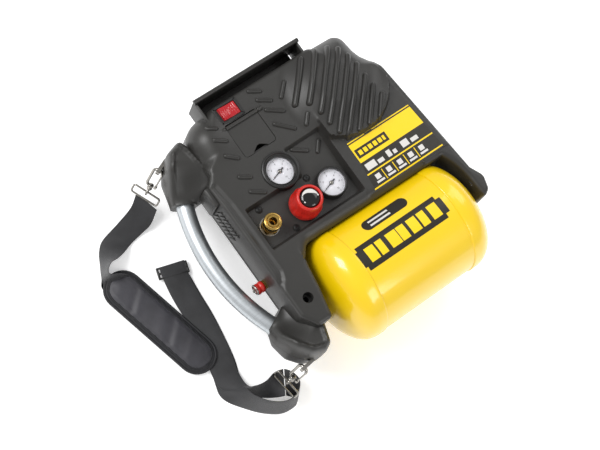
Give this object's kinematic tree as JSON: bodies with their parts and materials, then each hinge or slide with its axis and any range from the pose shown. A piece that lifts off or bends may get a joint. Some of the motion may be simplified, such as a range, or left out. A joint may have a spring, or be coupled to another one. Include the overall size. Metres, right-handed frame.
{
  "type": "air compressor",
  "caption": "Portable oil-free air compressor in a moulded housing with a horizontal tank, tube handle, regulator, gauges, quick coupler and shoulder strap, lying on its back.",
  "frame": {"origin": "middle of the housing's flat back, on the surface it rests on", "axes": "+Z out of the front with the controls, +X along the tank towards its far end from the handle, +Y from the tank to the cord-wrap flange"},
  "size_m": [0.5121, 0.408, 0.1783],
  "materials": {
    "charcoal_plastic": "satin",
    "dark_plastic": "satin",
    "black_plastic": "satin",
    "gloss_black": "gloss",
    "yellow_paint": "gloss",
    "aluminium_tube": "brushed",
    "cast_aluminium": "cast",
    "plated_steel": "nickel plated",
    "dark_steel": "satin",
    "red_plastic": "gloss",
    "red_translucent": "gloss",
    "dial_white": "matt",
    "needle_black": "matt",
    "clear_lens": "polished",
    "pale_plastic": "satin",
    "brass": "satin",
    "copper_pipe": "satin",
    "rubber": "matt",
    "webbing": "woven",
    "pad_fabric": "woven"
  },
  "bodies": {
    "compressor": {"front_shell": "charcoal_plastic", "rear_shell": "dark_plastic", "cord_wrap": "dark_plastic", "tank_barrel": "yellow_paint", "tank_ends": "yellow_paint", "tank_bosses": "yellow_paint", "tank_brackets": "yellow_paint", "handle_tube": "aluminium_tube", "strap_anchors": "plated_steel", "rubber_feet": "rubber", "shell_screws": "plated_steel", "panel_screws": "dark_steel", "switch_housing": "black_plastic", "door_pin": "plated_steel", "accessory_tray": "dark_plastic", "tank_gauge_case": "black_plastic", "tank_gauge_dial": "dial_white", "tank_gauge_lens": "clear_lens", "outlet_gauge_case": "black_plastic", "outlet_gauge_dial": "dial_white", "outlet_gauge_lens": "clear_lens", "manifold": "cast_aluminium", "regulator_nut": "pale_plastic", "coupler_body": "brass", "safety_valve_body": "brass", "safety_valve_cap": "red_plastic", "drain_valve_body": "brass", "pressure_switch": "black_plastic", "manifold_hose": "rubber", "motor_stator": "dark_steel", "motor_cradle": "dark_steel", "crankcase": "cast_aluminium", "shaft_bearings": "plated_steel", "piston_rod": "cast_aluminium", "pump_cylinder": "cast_aluminium", "cylinder_head": "cast_aluminium", "air_filter": "black_plastic", "delivery_pipe": "copper_pipe", "check_valve": "brass", "cable_gland": "black_plastic", "hook_upper": "plated_steel", "hook_lower": "plated_steel", "webbing_rings": "plated_steel", "strap_webbing": "webbing", "strap_slider": "black_plastic", "shoulder_pad": "pad_fabric"},
    "rocker": {"switch_rocker": "red_translucent"},
    "door": {"door": "charcoal_plastic"},
    "tank_needle": {"tank_gauge_needle": "needle_black"},
    "outlet_needle": {"outlet_gauge_needle": "needle_black"},
    "regulator_knob": {"regulator_knob": "red_plastic", "knob_cap": "gloss_black"},
    "coupler_sleeve": {"coupler_sleeve": "brass"},
    "safety_pull": {"safety_valve_ring": "plated_steel"},
    "drain_knob": {"drain_valve_knob": "brass"},
    "rotor": {"motor_shaft": "plated_steel", "cooling_fan": "dark_plastic", "eccentric": "plated_steel"},
    "gate_upper": {"gate_upper": "plated_steel"},
    "gate_lower": {"gate_lower": "plated_steel"}
  },
  "joints": [
    {"name": "rocker_tilt", "type": "hinge", "parent": "compressor", "child": "rocker", "pos_m": [-0.0795, 0.17, 0.147], "axis": [0, -1, 0], "range_deg": [0, 18]},
    {"name": "door_hinge", "type": "hinge", "parent": "compressor", "child": "door", "pos_m": [-0.0712, 0.1505, 0.151], "axis": [-1, 0, 0], "range_deg": [0, 100]},
    {"name": "tank_needle_turn", "type": "hinge", "parent": "compressor", "child": "tank_needle", "pos_m": [-0.067, 0.063, 0.1436], "axis": [0, 0, -1], "range_deg": [0, 270]},
    {"name": "outlet_needle_turn", "type": "hinge", "parent": "compressor", "child": "outlet_needle", "pos_m": [-0.0155, 0.011, 0.1436], "axis": [0, 0, -1], "range_deg": [0, 270]},
    {"name": "regulator_turn", "type": "hinge", "parent": "compressor", "child": "regulator_knob", "pos_m": [-0.065, 0.006, 0.145], "axis": [0, 0, -1], "range_deg": [0, 330]},
    {"name": "sleeve_slide", "type": "slide", "parent": "compressor", "child": "coupler_sleeve", "axis": [0, 0, -1], "range_m": [0, 0.003], "stiffness_N_per_m": 1500, "springref_m": -0.001},
    {"name": "safety_pull_slide", "type": "slide", "parent": "compressor", "child": "safety_pull", "axis": [-1, 0, 0], "range_m": [0, 0.0025], "stiffness_N_per_m": 1000, "springref_m": -0.001},
    {"name": "drain_turn", "type": "hinge", "parent": "compressor", "child": "drain_knob", "pos_m": [0.08, -0.17641, 0.02259], "axis": [0, 0.7071, 0.7071], "range_deg": [0, 180]},
    {"name": "rotor_spin", "type": "hinge", "parent": "compressor", "child": "rotor", "pos_m": [0, 0.11, 0.062], "axis": [1, 0, 0], "continuous": true},
    {"name": "gate_upper_swing", "type": "hinge", "parent": "compressor", "child": "gate_upper", "pos_m": [-0.20058, 0.15148, 0.06107], "axis": [-0.7972, -0.3384, 0.5], "range_deg": [0, 20], "stiffness_Nm_per_rad": 0.05, "springref_deg": -5.73},
    {"name": "gate_lower_swing", "type": "hinge", "parent": "compressor", "child": "gate_lower", "pos_m": [-0.1947, -0.18149, 0.05959], "axis": [-0.9067, -0.1113, 0.4067], "range_deg": [0, 20], "stiffness_Nm_per_rad": 0.05, "springref_deg": -5.73}
  ]
}
